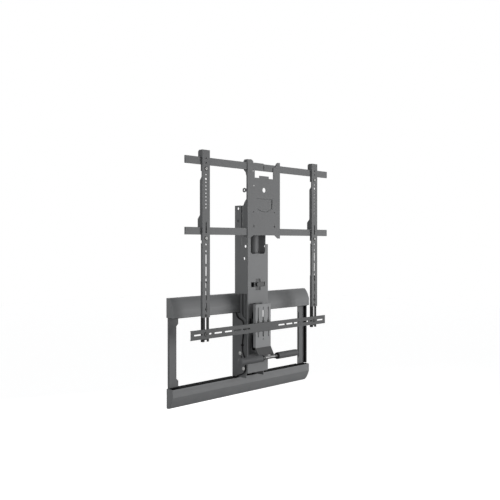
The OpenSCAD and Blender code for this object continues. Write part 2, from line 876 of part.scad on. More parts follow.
// Half of the head plate, seen from the front, with the ear and the horn of the right side
module head_half_outline() {
    half = head_w / 2;
    polygon([
        [0, head_bottom], [half - 35, head_bottom], [half - 14, horn_bottom], [half, horn_bottom],
        [half, ear_top], [half - 16, ear_top], [half - 30, head_top - 8], [half - 45, head_top - 12],
        [half - 45, head_top - 64], [30, head_top - 64], [30, head_top - 54], [0, head_top - 54]
    ]);
}

module head_front_outline() {
    small = 6.5;
    difference() {
        union() {
            head_half_outline();
            mirror([1, 0]) head_half_outline();
            translate([-head_w / 2 + 19, head_top - 4]) circle(19, $fn = 64);
        }
        translate([0, head_top - head_eye_drop]) circle(d = 22, $fn = 48);
        for (hole = [[-64, -99.5], [-69, -35]])
            translate([hole[0], head_top + hole[1]]) circle(d = small, $fn = 24);
        for (side = [-1, 1], i = [0, 1])
            translate([side * head_bolt_x, head_bolt_z[i]]) circle(d = i == 0 ? 6.1 : 9.5, $fn = 24);
        translate([50, head_top - 179]) square([6, 46], center = true);
        translate([-2, head_top - stud_drop + 6]) square([96, groove_w], center = true);
        translate([0, head_top - 140]) difference() {
            circle(r = groove_r, $fn = 128);
            circle(r = groove_r - groove_w, $fn = 128);
            translate([-2 * groove_r, -0.82 * groove_r]) square([4 * groove_r, 1.86 * groove_r]);
        }
    }
}

// Side flange of the head plate, deeper at the ear, at the lug and at the foot
module head_flange_outline() {
    front = -head_front_d;
    rail_gap = -head_rear_d + head_t;
    lug = [front + 22, head_top - lug_drop];
    difference() {
        union() {
            polygon([
                [front, horn_bottom], [front + 22, horn_bottom + 6], [front + 28, head_bottom],
                [front + 28, head_top - 190], [front + 20, head_top - 174], [front + 8, head_top - 160],
                [front + 8, head_top - 60], [front + 14, head_top - 42], [front + 25, head_top - rail_h],
                [front + 27, ear_top - 8], [front + 20, ear_top], [front, ear_top]
            ]);
            translate(lug) circle(10, $fn = 48);
            translate([front, lug[1] - 7]) square([22, 14]);
        }
        translate(lug) circle(d = 9, $fn = 32);
        for (z = [rail_low_z, rail_high_z])
            translate([-head_rear_d, z - rail_h / 2]) square([rail_section_d, rail_h]);
    }
}

module head_plate() {
    color("gray") {
        front_sheet(head_front_d, head_t) head_front_outline();
        both_sides() side_sheet(head_w / 2 - head_t, head_t) head_flange_outline();
    }
}

module head_plate_bolts() {
    color("dimgray") {
        for (side = [-1, 1], z = head_bolt_z) {
            y_cylinder(6, head_front_d - 1.5, carrier_rear_d - 5, side * head_bolt_x, z);
            y_cylinder(10, carrier_rear_d, carrier_rear_d - 4.5, side * head_bolt_x, z);
        }
        x_cylinder(12, head_w / 2, head_w / 2 + 5, [12 - head_front_d, head_top - stud_drop]);
    }
}

// A rail is a channel open to the wall, with closed ends
module rail(z) {
    difference() {
        depth_box(-rail_l / 2, rail_l / 2, head_rear_d, rail_rear_d, z - rail_h / 2, z + rail_h / 2);
        depth_box(rail_t - rail_l / 2, rail_l / 2 - rail_t, head_rear_d - rail_t, rail_rear_d - 1,
            z - rail_h / 2 + rail_t, z + rail_h / 2 - rail_t);
    }
}

// The upper rail has a lip on its top, and a slot in the middle with a stiffener behind it
module upper_rail() {
    inner_h = rail_h - rail_t;
    color("dimgray") {
        difference() {
            union() {
                rail(rail_high_z);
                front_sheet(head_rear_d, rail_t) translate([-rail_lip_l, head_top - 1])
                    square([rail_lip_l, 3.5]);
            }
            translate([0, 0, rail_high_z]) front_sheet(head_front_d, 2 * head_t) slot(4, 18);
        }
        depth_box(-stiffener_half, stiffener_half, rail_rear_d + rail_t, rail_rear_d,
            rail_high_z - inner_h / 2, rail_high_z + inner_h / 2);
    }
}

module lower_rail() {
    color("dimgray") rail(rail_low_z);
}

// Screen brackets

// One clamp bolt under each rail holds a clamp plate behind the rail
clamp_z = [rail_high_z - rail_h / 2 - clamp_bolt_d - 9, rail_low_z - rail_h / 2 - clamp_bolt_d - 7];

module rail_clamps() {
    color("dimgray") for (side = [-1, 1], i = [0, 1]) translate([side * screen_x, 0, 0])
        front_sheet(rail_rear_d, clamp_t) difference() {
            translate([-14, clamp_z[i] - 9]) square([28, 44]);
            translate([0, clamp_z[i]]) circle(d = clamp_bolt_d + 0.1, $fn = 32);
        }
}

module clamp_bolts() {
    color("silver") for (side = [-1, 1], z = clamp_z) {
        difference() {
            y_cylinder(13, bracket_front_d + 2.5, bracket_front_d, side * screen_x, z);
            y_cylinder(6, bracket_front_d + 3, bracket_front_d + 0.5, side * screen_x, z);
        }
        y_cylinder(clamp_bolt_d, bracket_front_d + 0.5, rail_rear_d - clamp_t - 6, side * screen_x, z);
        y_cylinder(14, rail_rear_d - clamp_t, rail_rear_d - clamp_t - 5, side * screen_x, z);
    }
}

module bracket_front_outline() {
    first_slot = rail_low_z - rail_h / 2 - 80;
    hole_top = rail_high_z - rail_h / 2 - 73;
    difference() {
        translate([-bracket_w / 2, bracket_bottom]) square([bracket_w, bracket_l]);
        for (z = clamp_z)
            translate([0, z]) circle(d = clamp_bolt_d + 0.1, $fn = 32);
        translate([0, extension_bolt_z[0]]) circle(d = extension_bolt_d + 0.1, $fn = 32);
        for (z = [rail_high_z + 11, rail_high_z - 8, hole_top + 32])
            translate([0, z]) circle(d = screen_hole_d, $fn = 24);
        translate([0, hole_top + 14]) circle(d = screen_hole_d + 3, $fn = 24);
        for (i = [0 : 7])
            translate([0, hole_top - i * hole_pitch]) circle(d = screen_hole_d, $fn = 24);
        translate([0, rail_low_z + 14]) slot(screen_hole_d, 46);
        for (z = [rail_low_z - 56, rail_low_z - 84])
            translate([0, z]) circle(d = screen_hole_d + 1, $fn = 24);
        for (i = [0 : 4])
            translate([0, rail_low_z - 117 - i * slot_pitch]) slot(screen_hole_d, slot_l);
    }
}

// Side flange of a screen bracket: a hook over each rail and a shallow edge between
module bracket_flange_outline() {
    front = -bracket_front_d;
    notch = -head_rear_d - seat_gap;
    hook = 27;
    high = rail_high_z + rail_h / 2;
    low = rail_low_z + rail_h / 2;
    polygon([
        [front, bracket_bottom], [front + 10, bracket_bottom], [front + 10, rail_low_z - 50],
        [front + 5.5, rail_low_z - 62], [front + 5.5, low - rail_h - 1], [notch, low - rail_h - 1],
        [notch, low + 0.3], [front + 30, low + 0.3], [front + 30, low + 34], [front + 16, low + 50],
        [front + 16, high - 96], [front + 5.5, high - 82], [front + 5.5, high - rail_h - 1],
        [notch, high - rail_h - 1], [notch, high + 0.3], [front + hook, high + 0.3],
        [front + hook, bracket_top - 6], [front + hook - 6, bracket_top], [front, bracket_top]
    ]);
}

module screen_bracket(side) {
    color("gray") translate([side * screen_x, 0, 0]) {
        front_sheet(bracket_front_d, bracket_sheet_t) bracket_front_outline();
        both_sides() side_sheet(bracket_w / 2 - bracket_sheet_t, bracket_sheet_t) bracket_flange_outline();
    }
}

module left_screen_bracket() {
    screen_bracket(-1);
}

module right_screen_bracket() {
    screen_bracket(1);
}

module extension_bolts() {
    color("silver") for (side = [-1, 1], z = extension_bolt_z) {
        y_cylinder(11, bracket_front_d + 2.5, bracket_front_d, side * screen_x, z);
        y_cylinder(extension_bolt_d, bracket_front_d + 1, extension_front_d - extension_t - 8,
            side * screen_x, z);
        y_cylinder(13, extension_front_d - extension_t - seat_gap,
            extension_front_d - extension_t - 6, side * screen_x, z);
    }
}

// Speaker bar on its two extensions

module extension(side) {
    flange_d = 12;
    half = extension_w / 2;
    slot_mid = (extension_slot_top + extension_slot_bottom) / 2;
    color("black") translate([side * screen_x, 0, 0]) difference() {
        union() {
            front_sheet(extension_front_d, extension_t)
                translate([-half, extension_bottom]) square([extension_w, extension_l]);
            for (x = [-half, half - extension_t])
                depth_box(x, x + extension_t, extension_front_d, extension_front_d - flange_d,
                    extension_bottom, extension_top);
        }
        translate([0, 0, slot_mid]) front_sheet(extension_front_d + 1, extension_t + 2)
            slot(extension_slot_w, extension_slot_top - extension_slot_bottom);
        translate([0, 0, extension_bottom]) front_sheet(extension_front_d + 1, extension_t + 2)
            square([13, 16], center = true);
    }
}

module left_extension() {
    extension(-1);
}

module right_extension() {
    extension(1);
}

module speaker_bar() {
    notch = extension_w / 2 + 1;
    ends = [[-bar_l / 2, -screen_x - notch], [notch - screen_x, screen_x - notch],
        [screen_x + notch, bar_l / 2]];
    color("dimgray") {
        front_sheet(bar_front_d, bar_t) difference() {
            translate([-bar_l / 2, bar_z - bar_h / 2]) square([bar_l, bar_h]);
            for (side = [-1, 1]) {
                for (x = [114, 168.5, 222, 281.5, 393])
                    translate([side * x, bar_z]) slot(bar_slot_w, 44, lying = true);
                translate([side * 326, bar_z]) slot(bar_slot_w, 14, lying = true);
                translate([side * screen_x, bar_z]) circle(d = 8.1, $fn = 32);
            }
        }
        for (end = ends, z = [bar_z - bar_h / 2, bar_z + bar_h / 2 - bar_t])
            depth_box(end[0], end[1], bar_front_d, bar_front_d - bar_t - bar_lip_d, z, z + bar_t);
    }
}

module bar_bolts() {
    color("dimgray") for (side = [-1, 1]) {
        difference() {
            y_cylinder(18, bar_front_d + 2.5, bar_front_d, side * screen_x, bar_z);
            y_cylinder(8, bar_front_d + 3, bar_front_d + 0.8, side * screen_x, bar_z);
        }
        y_cylinder(extension_slot_w, bar_front_d + 1, extension_front_d - extension_t - 4,
            side * screen_x, bar_z);
        y_cylinder(13, extension_front_d - extension_t, extension_front_d - extension_t - 4,
            side * screen_x, bar_z);
    }
}

// Handle

module handle_slide() {
    wing = mast_in - gap;
    color("dimgray") difference() {
        union() {
            front_sheet(slide_front_d, handle_t)
                translate([-slide_half, slide_bottom]) square([2 * slide_half, slide_top - slide_bottom]);
            both_sides() {
                depth_box(slide_half - handle_t, slide_half, slide_front_d, slide_rear_d - handle_t,
                    slide_bottom, slide_top);
                depth_box(slide_half - handle_t, wing, slide_rear_d, slide_rear_d - handle_t,
                    slide_bottom, slide_top);
            }
        }
        for (i = [-1 : 1], z = handle_bolt_z)
            y_cylinder(handle_bolt_d + 0.1, handle_front_d, slide_rear_d, i * handle_slot_pitch, z);
    }
}

module handle_bolts() {
    color("dimgray") for (i = [-1 : 1], z = handle_bolt_z) {
        x = i * handle_slot_pitch;
        y_cylinder(11, handle_front_d + seat_gap + handle_head_h, handle_front_d + seat_gap, x, z);
        y_cylinder(handle_bolt_d, handle_front_d + 1, slide_front_d - handle_t - 5, x, z);
        y_cylinder(10, slide_front_d - handle_t, slide_front_d - handle_t - 4.5, x, z);
    }
}

// An ear under the flare of the handle plate, from the plate to the rod
module handle_ear_outline(flare) {
    rod = [-handle_rod_depth, handle_rod_z];
    polygon([
        [1 - handle_front_d, handle_bottom + 3], flare + [2, 1], rod + [-2, handle_rod_d / 2 + 1],
        rod + [6, 1 - handle_rod_d / 2], flare + [8, -4], [10 - handle_front_d, handle_bottom + 3]
    ]);
    translate(rod) circle(handle_rod_d / 2 + 2, $fn = 48);
}

module handle_bracket() {
    half = handle_w / 2;
    slot_mid = (handle_slot_top + handle_slot_bottom) / 2;
    flare = [17.5 - handle_rod_depth, handle_rod_z + 5.5];
    color("silver") difference() {
        union() {
            front_sheet(handle_front_d, handle_t) difference() {
                translate([-half, handle_bottom]) square([handle_w, handle_h]);
                for (i = [-1 : 1])
                    translate([i * handle_slot_pitch, slot_mid]) slot(handle_slot_w, handle_slot_l);
                translate([0, handle_slot_bottom - 10]) circle(d = 6, $fn = 24);
            }
            both_sides() {
                depth_box(half - handle_t, half, handle_front_d, handle_front_d - handle_flange_d,
                    handle_bottom + 2, handle_top);
                side_sheet(ear_x, handle_t) handle_ear_outline(flare);
            }
            side_sheet(-half, handle_w) polygon([
                [-handle_front_d, handle_bottom + handle_t], [handle_t - handle_front_d, handle_bottom],
                flare + [handle_t, 0], flare
            ]);
        }
        x_cylinder(handle_rod_d + 0.1, -half - 1, half + 1, [-handle_rod_depth, handle_rod_z]);
    }
}

module handle_rod() {
    color("silver") x_cylinder(handle_rod_d, 4 - handle_half_l, handle_half_l - 4,
        [-handle_rod_depth, handle_rod_z]);
}

// A grip is a turned sleeve with a rounded outer end
module grip() {
    r = grip_d / 2;
    round_r = 5;
    translate([handle_half_l - grip_l, -handle_rod_depth, handle_rod_z]) rotate([0, 90, 0])
        rotate_extrude($fn = 64) difference() {
            union() {
                square([r, grip_l - round_r]);
                square([r - round_r, grip_l]);
                translate([r - round_r, grip_l - round_r]) circle(round_r, $fn = 48);
            }
            translate([-1, -1]) square([handle_rod_d / 2 + 1, grip_l - 3]);
            translate([-round_r, grip_l - 2 * round_r]) square([round_r, 3 * round_r]);
        }
}

module left_grip() {
    color("dimgray") mirror([1, 0, 0]) grip();
}

module right_grip() {
    color("dimgray") grip();
}

module grip_collars() {
    collar_end = handle_half_l - grip_l;
    color("black") both_sides() difference() {
        union() {
            x_cylinder(grip_d - 1, collar_end - 3, collar_end, [-handle_rod_depth, handle_rod_z]);
            x_cylinder(grip_d - 5, collar_end - 4, collar_end, [-handle_rod_depth, handle_rod_z]);
        }
        x_cylinder(handle_rod_d, collar_end - 5, collar_end + 1, [-handle_rod_depth, handle_rod_z]);
    }
}

frame_top_rail();
frame_bottom_rail();
left_upright();
right_upright();
cable_channel();
top_cover();
bottom_cover();
pivot_bracket();
lower_pivot_pins();
spring_anchor_pin();
service_cable();
cable_clips();
front_link();
front_link_bushes();
rear_link();
rear_link_bushes();
spring_link_pin();
gas_spring_cylinders();
gas_spring_rods();
knuckle();
upper_pivot_pins();
swivel_post();
swivel_washer();
swivel_nut();
mast();
swivel_brackets();
swivel_bush();
adjuster_plate();
tension_adjuster();
head_carrier();
carrier_bolts();
head_plate();
head_plate_bolts();
upper_rail();
lower_rail();
rail_clamps();
clamp_bolts();
left_screen_bracket();
right_screen_bracket();
extension_bolts();
handle_slide();
handle_bolts();
handle_bracket();
handle_rod();
left_grip();
right_grip();
grip_collars();
left_extension();
right_extension();
speaker_bar();
bar_bolts();
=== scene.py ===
"""A height-adjustable swivel wall mount: wall frame with two long covers, folded lift arm, mast, head plate,
rails with upright brackets, perforated lower bar and T-bar handle. Metres. X runs to the right, +Y into the
wall, Z up, and the wall is the plane Y = 0."""

import math

import bmesh
import bpy
from mathutils import Matrix, Vector


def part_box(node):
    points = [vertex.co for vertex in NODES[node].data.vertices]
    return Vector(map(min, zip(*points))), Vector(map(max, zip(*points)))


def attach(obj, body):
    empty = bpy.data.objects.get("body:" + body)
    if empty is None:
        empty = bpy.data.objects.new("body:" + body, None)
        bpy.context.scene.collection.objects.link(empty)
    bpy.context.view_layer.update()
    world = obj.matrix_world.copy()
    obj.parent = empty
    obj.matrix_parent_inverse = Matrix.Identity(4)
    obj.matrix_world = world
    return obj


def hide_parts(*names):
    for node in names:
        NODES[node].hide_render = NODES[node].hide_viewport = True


bl_info = {
    "name": "Swivel Wall Mount",
    "version": (1, 0, 0),
    "blender": (4, 5, 0),
    "location": "View3D > Sidebar > Wall Mount",
    "description": "Adds covers, fasteners, grips, a cable and coatings to a swivel wall mount",
    "category": "Add Mesh",
}

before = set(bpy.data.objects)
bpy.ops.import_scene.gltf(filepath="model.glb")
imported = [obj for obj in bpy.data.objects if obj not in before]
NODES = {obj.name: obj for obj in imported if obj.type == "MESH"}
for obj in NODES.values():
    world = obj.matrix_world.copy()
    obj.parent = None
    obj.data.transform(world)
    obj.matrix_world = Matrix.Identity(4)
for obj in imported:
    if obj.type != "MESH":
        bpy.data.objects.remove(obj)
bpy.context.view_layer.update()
MM = 0.001
WELD = 1e-6  # points closer than this are one
APART = 0.02 * MM  # keeps the parts of one piece from being welded together
CREASE = math.radians(13)  # edges that turn by more than this look sharp
TO_ROOM = (0, -1, 0)


def low(node):
    """Lowest corner of a node."""
    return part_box(node)[0]


def high(node):
    """Highest corner of a node."""
    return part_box(node)[1]


def centre(node):
    """Middle of a node's box."""
    lo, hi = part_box(node)
    return (lo + hi) / 2


# Colour

def linear(code, alpha=1.0):
    """A hex sRGB colour as linear numbers."""
    parts = [int(code[i:i + 2], 16) / 255 for i in (1, 3, 5)]
    return tuple(c / 12.92 if c <= 0.04045 else ((c + 0.055) / 1.055) ** 2.4 for c in parts) + (alpha,)


def hex_property(name, words, code):
    """A colour swatch with a hex default."""
    return bpy.props.FloatVectorProperty(
        name=name, description=words, default=linear(code), size=4, min=0, max=1, subtype="COLOR")


# Properties

class MountColours(bpy.types.PropertyGroup):
    mast: hex_property("Mast coat", "Powder coat of the mast", "#78797A")
    head: hex_property("Head coat", "Powder coat of the head plate", "#636465")
    brackets: hex_property("Bracket coat", "Powder coat of the two upright brackets", "#5C5D5E")
    rails: hex_property("Rail coat", "Powder coat of the two rails and the wall frame", "#646566")
    bar: hex_property("Bar coat", "Powder coat of the perforated bar", "#444546")
    covers: hex_property("Covers", "Moulded skin of the two long covers", "#7C7D7E")
    arm: hex_property("Arm coat", "Powder coat of the pivot bracket, links and swivel tube", "#626364")
    # The inner coat is painted shade: its near-black stands for the deep shade inside the mast
    inner: hex_property("Inner coat", "Dark coat of the slide behind the handle plate", "#1D1E1F")
    handle: hex_property("Handle plate", "Lighter coat of the handle plate", "#8F9091")
    grips: hex_property("Grips", "Foam rubber of the two grips", "#5F6061")
    black: hex_property("Black parts", "Black plastic and black coat", "#161617")
    zinc: hex_property("Zinc", "Zinc plating of the bright bolts", "#D0D0CE")
    steel: hex_property("Rod steel", "Drawn steel of the handle rod", "#727272")


class MountSizes(bpy.types.PropertyGroup):
    edge: bpy.props.FloatProperty(
        name="Sheet edge", description="Radius of the broken edges of the coated sheet parts",
        default=0.5 * MM, min=0.05 * MM, max=1 * MM, precision=5, subtype="DISTANCE", unit="LENGTH")
    rib_pitch: bpy.props.FloatProperty(
        name="Grip rib pitch", description="Distance between the fine rings on a grip",
        default=5 * MM, min=2 * MM, max=12 * MM, precision=4, subtype="DISTANCE", unit="LENGTH")
    rib_depth: bpy.props.FloatProperty(
        name="Grip rib depth", description="Height of the fine rings on a grip",
        default=0.5 * MM, min=0.1 * MM, max=1 * MM, precision=5, subtype="DISTANCE", unit="LENGTH")
    # The bristle strips stand in for the shade in the opening between each cover's lip and the wall
    brush: bpy.props.FloatProperty(
        name="Brush height", description="Height of the brush strips along the lips of the covers",
        default=2.5 * MM, min=1 * MM, max=8 * MM, precision=4, subtype="DISTANCE", unit="LENGTH")
    bead: bpy.props.FloatProperty(
        name="Weld bead", description="Radius of the weld bead round the foot of the swivel tube",
        default=2.4 * MM, min=1 * MM, max=4 * MM, precision=4, subtype="DISTANCE", unit="LENGTH")


# Materials

MIX_FACTOR, MIX_A, MIX_B, MIX_RESULT = 0, 6, 7, 2  # the sockets of a Mix node that mixes colours


def shader_node(tree, kind, settings=None, links=None):
    """Adds a node, sets its values and joins its inputs to the outputs given."""
    node = tree.nodes.new(kind)
    for key, value in (settings or {}).items():
        if isinstance(key, str) and hasattr(node, key):
            setattr(node, key, value)
        else:
            node.inputs[key].default_value = value
    for key, source in (links or {}).items():
        tree.links.new(source, node.inputs[key])
    return node


def new_material(name):
    """A material with an empty tree, and its tree and Principled shader."""
    material = bpy.data.materials.new(name)
    material.use_nodes = True
    tree = material.node_tree
    tree.nodes.clear()
    shader = tree.nodes.new("ShaderNodeBsdfPrincipled")
    output = tree.nodes.new("ShaderNodeOutputMaterial")
    tree.links.new(shader.outputs["BSDF"], output.inputs["Surface"])
    return material, tree, shader


def shade(colour, factor):
    """A colour made lighter or darker."""
    return tuple(min(1.0, c * factor) for c in colour[:3]) + (1.0,)


def mottle(tree, colour, spread, pitch):
    """A colour that drifts a little lighter and darker over the surface, and the coordinates that it uses."""
    place = shader_node(tree, "ShaderNodeTexCoord")
    noise = shader_node(tree, "ShaderNodeTexNoise", {"Scale": 1 / pitch, "Detail": 3.0, "Roughness": 0.55},
                        {"Vector": place.outputs["Object"]})
    ramp = shader_node(tree, "ShaderNodeValToRGB", links={"Fac": noise.outputs["Fac"]})
    ramp.color_ramp.elements[0].position = 0.3
    ramp.color_ramp.elements[1].position = 0.7
    ramp.color_ramp.elements[0].color = shade(colour, 1 - spread)
    ramp.color_ramp.elements[1].color = shade(colour, 1 + spread)
    return place, ramp


def powder_coat(name, colour, edge, roughness=0.5, sheen=0.5):
    """Polyester powder coat, sprayed and baked on folded steel sheet. To the eye it is satin and even, its
    orange peel softens the highlights, and the broken edges of the sheet are painted lighter: partly wear
    of the coat, partly a painted highlight."""
    material, tree, shader = new_material(name)
    shader.inputs["Specular IOR Level"].default_value = sheen
    drift_pitch, peel_pitch, edge_light = 111 * MM, 1.6 * MM, 1.25
    place, ramp = mottle(tree, colour, 0.035, drift_pitch)
    peel = shader_node(tree, "ShaderNodeTexNoise", {"Scale": 1 / peel_pitch, "Detail": 2.0},
                       {"Vector": place.outputs["Object"]})
    broken = shader_node(tree, "ShaderNodeBevel", {"samples": 4, "Radius": edge})
    bump = shader_node(tree, "ShaderNodeBump", {"Strength": 0.12, "Distance": 0.08 * MM},
                       {"Height": peel.outputs["Fac"], "Normal": broken.outputs["Normal"]})
    geometry = shader_node(tree, "ShaderNodeNewGeometry")
    turn = shader_node(tree, "ShaderNodeVectorMath", {"operation": "DOT_PRODUCT"},
                       {0: broken.outputs["Normal"], 1: geometry.outputs["True Normal"]})
    # The broken edges are painted lighter: partly wear of the coat, partly a painted highlight
    edge_wear_and_highlight = shader_node(tree, "ShaderNodeMapRange", {
        "From Min": 0.99, "From Max": 0.8, "To Min": 0.0, "To Max": 1.0}, {"Value": turn.outputs["Value"]})
    mix = shader_node(tree, "ShaderNodeMix", {"data_type": "RGBA"})
    mix.inputs[MIX_B].default_value = shade(colour, edge_light)
    tree.links.new(edge_wear_and_highlight.outputs["Result"], mix.inputs[MIX_FACTOR])
    tree.links.new(ramp.outputs["Color"], mix.inputs[MIX_A])
    grit = shader_node(tree, "ShaderNodeMapRange", {"To Min": roughness - 0.05, "To Max": roughness + 0.07},
                       {"Value": peel.outputs["Fac"]})
    tree.links.new(mix.outputs[MIX_RESULT], shader.inputs["Base Color"])
    tree.links.new(grit.outputs["Result"], shader.inputs["Roughness"])
    tree.links.new(bump.outputs["Normal"], shader.inputs["Normal"])
    return material


def moulded(name, colour, roughness, grain_mm, strength=0.2, sheen=0.5):
    """Moulded plastic or rubber. To the eye it is dull and one colour through, with the fine grain of its
    mould. The real grain, about 0.2 mm, wouldn't show, so it is drawn a few times coarser."""
    material, tree, shader = new_material(name)
    shader.inputs["Specular IOR Level"].default_value = sheen
    drift_pitch = 71 * MM
    place, ramp = mottle(tree, colour, 0.03, drift_pitch)
    grain = shader_node(tree, "ShaderNodeTexVoronoi", {"Scale": 1 / (grain_mm * MM)},
                        {"Vector": place.outputs["Object"]})
    bump = shader_node(tree, "ShaderNodeBump", {"Strength": strength, "Distance": 0.1 * MM},
                       {"Height": grain.outputs["Distance"]})
    rough = shader_node(tree, "ShaderNodeMapRange", {
        "To Min": roughness - 0.04, "To Max": roughness + 0.06}, {"Value": grain.outputs["Distance"]})
    tree.links.new(ramp.outputs["Color"], shader.inputs["Base Color"])
    tree.links.new(rough.outputs["Result"], shader.inputs["Roughness"])
    tree.links.new(bump.outputs["Normal"], shader.inputs["Normal"])
    return material


def plated(name, colour, roughness, streak=(1.0, 1.0, 1.0)):
    """Bare or plated steel. To the eye it is metallic and a little cloudy, with fine marks, drawn coarser
    than real ones so that they show. A streak above 1 on an axis squeezes the marks across it."""
    material, tree, shader = new_material(name)
    cloud_pitch, mark_pitch = 16.7 * MM, 1.1 * MM
    place, ramp = mottle(tree, colour, 0.07, cloud_pitch)
    mapping = shader_node(tree, "ShaderNodeMapping", {"Scale": streak}, {"Vector": place.outputs["Object"]})
    marks = shader_node(tree, "ShaderNodeTexNoise", {"Scale": 1 / mark_pitch, "Detail": 4.0},
                        {"Vector": mapping.outputs["Vector"]})
    rough = shader_node(tree, "ShaderNodeMapRange", {"To Min": roughness - 0.08, "To Max": roughness + 0.1},
                        {"Value": marks.outputs["Fac"]})
    bump = shader_node(tree, "ShaderNodeBump", {"Strength": 0.08, "Distance": 0.03 * MM},
                       {"Height": marks.outputs["Fac"]})
    shader.inputs["Metallic"].default_value = 1.0
    tree.links.new(ramp.outputs["Color"], shader.inputs["Base Color"])
    tree.links.new(rough.outputs["Result"], shader.inputs["Roughness"])
    tree.links.new(bump.outputs["Normal"], shader.inputs["Normal"])
    return material


def paint_shade_beyond(material, axis, start, end, factor):
    """Paints shade into a finish past a place along one axis: darker, with a soft step from start to end."""
    tree = material.node_tree
    shader = next(node for node in tree.nodes if node.type == "BSDF_PRINCIPLED")
    source = shader.inputs["Base Color"].links[0].from_socket
    place = shader_node(tree, "ShaderNodeTexCoord")
    split = shader_node(tree, "ShaderNodeSeparateXYZ", links={"Vector": place.outputs["Object"]})
    share = shader_node(tree, "ShaderNodeMapRange", {
        "From Min": start, "From Max": end, "To Min": 1.0, "To Max": factor},
        {"Value": split.outputs[axis]})
    scaled = shader_node(tree, "ShaderNodeVectorMath", {"operation": "SCALE"},
                         {0: source, "Scale": share.outputs["Result"]})
    tree.links.new(scaled.outputs["Vector"], shader.inputs["Base Color"])


MATERIALS = {}


def make_materials(colours, edge):
    """All finishes of the mount, by a short name."""
    for short in ("mast", "head", "brackets", "rails", "bar", "arm", "inner", "handle"):
        MATERIALS[short] = powder_coat(f"Powder coat, {short} grey", getattr(colours, short), edge)
    MATERIALS.update({
        # A dull grey skin, even enough for the long creases to stand out
        "covers": moulded("Moulded ABS, cover grey", colours.covers, 0.5, 0.9, 0.1),
        # Matt and open-pored, so that the light falls off softly round the grip
        "grips": moulded("Foam rubber, grip grey", colours.grips, 0.66, 0.8, 0.5),
        # Black with a faint sheen
        "plastic": moulded("Nylon, black", colours.black, 0.5, 0.7, sheen=0.2),
        # Near-black bristles as painted shade of the opening behind each lip, so that the strip reads as a
        # thin black line
        "brush": moulded("Nylon brush, black", shade(colours.black, 0.3), 0.9, 0.5, 0.3, 0.05),
        # Smooth and soft, with a weak highlight along the cable
        "jacket": moulded("PVC cable jacket, black", shade(colours.black, 0.7), 0.5, 1.2, 0.1, 0.25),
        # The satin coat in black, with hardly a highlight
        "black_coat": powder_coat("Powder coat, black", colours.black, edge, 0.5, 0.2),
        # Bright and cloudy: the bolts on the cheeks are the lightest points of the mount
        "zinc": plated("Zinc-plated steel", colours.zinc, 0.4),
        # The same plating in a darker copy, for the bolts that hardly stand out
        "dull_zinc": plated("Zinc-plated steel, dull", shade(colours.zinc, 0.42), 0.5),
        # Bare bar with soft streaks along it and a broad highlight
        "steel": plated("Drawn steel", colours.steel, 0.45, (1.0, 12.0, 12.0)),
        # Nearly black, with a dull metallic glint
        "dark_steel": plated("Blackened steel", shade(colours.steel, 0.36), 0.5),
    })
    # Painted shade: the handle plate is darker on its flare, and the right grip is darker at its rounded end
    flare_h, flare_painted_shade, grip_end_painted_shade = 50.5 * MM, 0.16, 0.15
    bend, grip_end = low("handle_bracket").z + flare_h, high("right_grip").x
    paint_shade_beyond(MATERIALS["handle"], "Z", bend + MM, bend - MM, flare_painted_shade)
    paint_shade_beyond(MATERIALS["grips"], "X", grip_end - 9 * MM, grip_end - 5 * MM, grip_end_painted_shade)


def paint(piece, finish):
    """Gives a piece one finish all over."""
    piece.data.materials.clear()
    piece.data.materials.append(MATERIALS[finish])


# Mesh helpers

def solids(node):
    """Lowest and highest corner of each separate solid of a node, in the order of their lowest corners."""
    work = bmesh.new()
    work.from_mesh(NODES[node].data)
    work.transform(NODES[node].matrix_world)
    bmesh.ops.remove_doubles(work, verts=work.verts, dist=WELD)
    waiting = set(work.verts)
    boxes = []
    while waiting:
        front = [waiting.pop()]
        corners = []
        while front:
            vertex = front.pop()
            corners.append(vertex.co.copy())
            for edge in vertex.link_edges:
                other = edge.other_vert(vertex)
                if other in waiting:
                    waiting.remove(other)
                    front.append(other)
        boxes.append([Vector([pick(c[i] for c in corners) for i in range(3)]) for pick in (min, max)])
    work.free()
    if not boxes:
        raise RuntimeError(f"{node} has no solid")
    return sorted(boxes, key=lambda box: [round(v, 4) for v in box[0]])


def mesh_of(name, fill):
    """A clean, smooth mesh with sharp creases, from a function that fills a bmesh."""
    mesh = bpy.data.meshes.new(name)
    work = bmesh.new()
    fill(work)
    bmesh.ops.remove_doubles(work, verts=work.verts, dist=WELD)
    bmesh.ops.recalc_face_normals(work, faces=work.faces)
    for face in work.faces:
        face.smooth = True
    for edge in work.edges:
        edge.smooth = len(edge.link_faces) == 2 and edge.calc_face_angle(0.0) < CREASE
    work.to_mesh(mesh)
    work.free()
    return mesh


def new_piece(name, fill, finish, body, replaced=()):
    """An object with its finish, its body and the nodes it stands for."""
    piece = bpy.data.objects.new(name, mesh_of(name, fill))
    bpy.context.scene.collection.objects.link(piece)
    paint(piece, finish)
    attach(piece, body)
    if replaced:
        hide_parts(*replaced)
    return piece


def bridge(work, loops, closed_row=False, caps=False):
    """Faces between each closed loop of vertices and the next. A loop of one vertex is a pole."""
    rows = list(zip(loops, loops[1:] + loops[:1])) if closed_row else list(zip(loops, loops[1:]))
    for lower, upper in rows:
        count = max(len(lower), len(upper))
        for k in range(count):
            after = (k + 1) % count
            around = ((lower, k), (lower, after), (upper, after), (upper, k))
            corners = list(dict.fromkeys(loop[step % len(loop)] for loop, step in around))
            if len(corners) > 2:
                work.faces.new(corners)
    if caps:
        work.faces.new(loops[0])
        work.faces.new(loops[-1])


